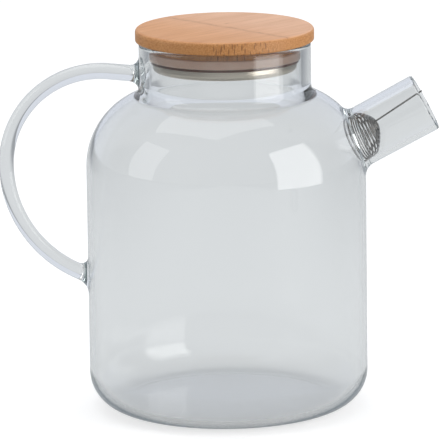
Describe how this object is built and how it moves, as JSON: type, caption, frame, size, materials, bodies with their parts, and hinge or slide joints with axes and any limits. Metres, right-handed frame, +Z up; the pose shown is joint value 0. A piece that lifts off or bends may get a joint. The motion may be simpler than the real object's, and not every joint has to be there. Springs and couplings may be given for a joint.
{
  "type": "glass pitcher",
  "caption": "Lidded clear glass pitcher with a rod handle, a short leaning spout with a wire strainer, and a bamboo lid with a seal.",
  "frame": {"origin": "on the jug's axis, on the flat face that it stands on", "axes": "+Z up along the jug's axis, +X towards the spout, the handle on -X"},
  "size_m": [0.2054, 0.1304, 0.1794],
  "materials": {
    "clear_glass": "clear, fire-polished",
    "bamboo": "sanded, light oil",
    "silicone": "translucent, satin",
    "cap_steel": "fine brushed",
    "wire_steel": "bright drawn wire"
  },
  "bodies": {
    "jug": {"jug_body": "clear_glass", "handle": "clear_glass", "spout": "clear_glass"},
    "lid": {"bamboo_lid": "bamboo", "silicone_seal": "silicone", "lid_liner": "cap_steel"},
    "strainer": {"spout_filter": "wire_steel"}
  },
  "joints": [
    {"name": "lid_lift", "type": "slide", "parent": "jug", "child": "lid", "axis": [0, 0, 1], "range_m": [0, 0.07]},
    {"name": "strainer_pull", "type": "slide", "parent": "jug", "child": "strainer", "axis": [0.8813, 0, 0.4726], "range_m": [0, 0.06]}
  ]
}
